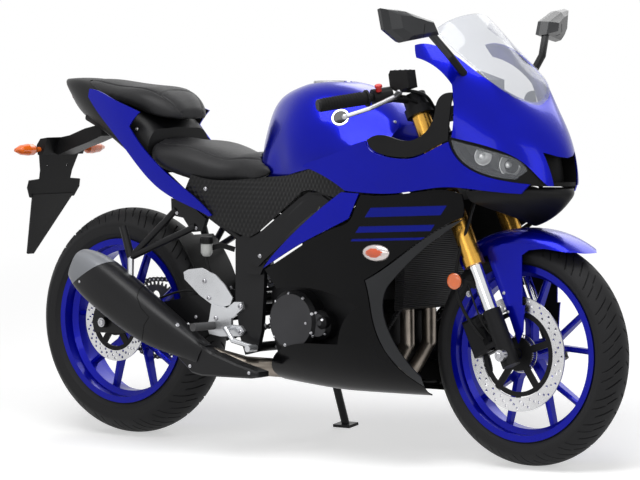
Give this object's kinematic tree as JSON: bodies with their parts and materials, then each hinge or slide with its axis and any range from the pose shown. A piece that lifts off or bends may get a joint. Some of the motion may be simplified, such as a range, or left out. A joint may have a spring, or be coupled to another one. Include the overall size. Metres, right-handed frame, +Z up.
{
  "type": "sport motorcycle",
  "caption": "Road sport motorcycle with a full fairing, a screen, a stepped seat and an upswept silencer, parked leaning on its side stand.",
  "frame": {"origin": "middle of the bounding box in plan, at the floor that both tyres and the stand's foot rest on", "axes": "+X towards the front wheel, +Y towards the rider's left, the side it leans to, +Z up"},
  "size_m": [2.08, 0.7846, 1.2288],
  "materials": {
    "paint_blue": "gloss metallic",
    "plastic_blue": "gloss metallic paint",
    "plastic_dark": "fine texture",
    "plastic_gloss_dark": "gloss",
    "plastic_grey": "satin metallic",
    "frame_dark": "satin",
    "cast_dark": "satin painted casting",
    "cast_silver": "satin",
    "gold": "anodised",
    "chrome": "polished",
    "steel": "brushed",
    "tyre": "matte",
    "seat": "grained",
    "clear": "clear",
    "lamp_orange": "gloss"
  },
  "bodies": {
    "chassis": {"frame": "frame_dark", "subframe": "frame_dark", "swingarm": "frame_dark", "rear_shock": "steel", "engine": "cast_dark", "radiator": "cast_dark", "exhaust_pipe": "steel", "muffler": "frame_dark", "chain": "steel", "chain_guard": "plastic_dark", "fuel_tank": "paint_blue", "rider_seat": "seat", "pillion_seat": "seat", "tail_panels": "plastic_blue", "undertail": "plastic_dark", "side_covers": "plastic_dark", "nose_cowl": "plastic_blue", "windscreen": "clear", "headlamps": "clear", "chin_cowl": "plastic_dark", "nose_liner": "plastic_dark", "mirrors": "plastic_dark", "cockpit_trim": "plastic_dark", "upper_fairings": "plastic_blue", "lower_fairings": "plastic_gloss_dark", "fairing_blades": "plastic_grey", "plate_holder": "plastic_dark", "lamps": "lamp_orange", "footrests": "cast_silver"},
    "steering": {"fork_clamps": "cast_dark", "fork_outers": "gold", "fork_inners": "chrome", "fork_lowers": "cast_dark", "front_fender": "plastic_blue", "handlebars": "frame_dark", "hand_levers": "cast_dark"},
    "front_wheel": {"front_tyre": "tyre", "front_rim": "paint_blue", "front_disc": "steel"},
    "rear_wheel": {"rear_tyre": "tyre", "rear_rim": "paint_blue", "rear_disc": "steel", "rear_sprocket": "steel"},
    "side_stand": {"side_stand": "frame_dark"},
    "fuel_cap": {"fuel_cap": "steel"}
  },
  "joints": [
    {"name": "steering_turn", "type": "hinge", "parent": "chassis", "child": "steering", "pos_m": [0.46769, -0.05748, 0.79253], "axis": [-0.4226, 0.1496, 0.8939], "range_deg": [-34, 34]},
    {"name": "front_wheel_spin", "type": "hinge", "parent": "steering", "child": "front_wheel", "pos_m": [0.747, -0.14161, 0.28981], "axis": [0, 0.9863, -0.165], "continuous": true},
    {"name": "rear_wheel_spin", "type": "hinge", "parent": "chassis", "child": "rear_wheel", "pos_m": [-0.633, -0.1381, 0.31078], "axis": [0, 0.9863, -0.165], "continuous": true},
    {"name": "side_stand_fold", "type": "hinge", "parent": "chassis", "child": "side_stand", "pos_m": [-0.077, 0.01172, 0.24515], "axis": [0, 0.9863, -0.165], "range_deg": [0, 85]},
    {"name": "fuel_cap_open", "type": "hinge", "parent": "chassis", "child": "fuel_cap", "pos_m": [0.133, -0.02772, 0.97041], "axis": [0, 0.9863, -0.165], "range_deg": [0, 90]}
  ]
}
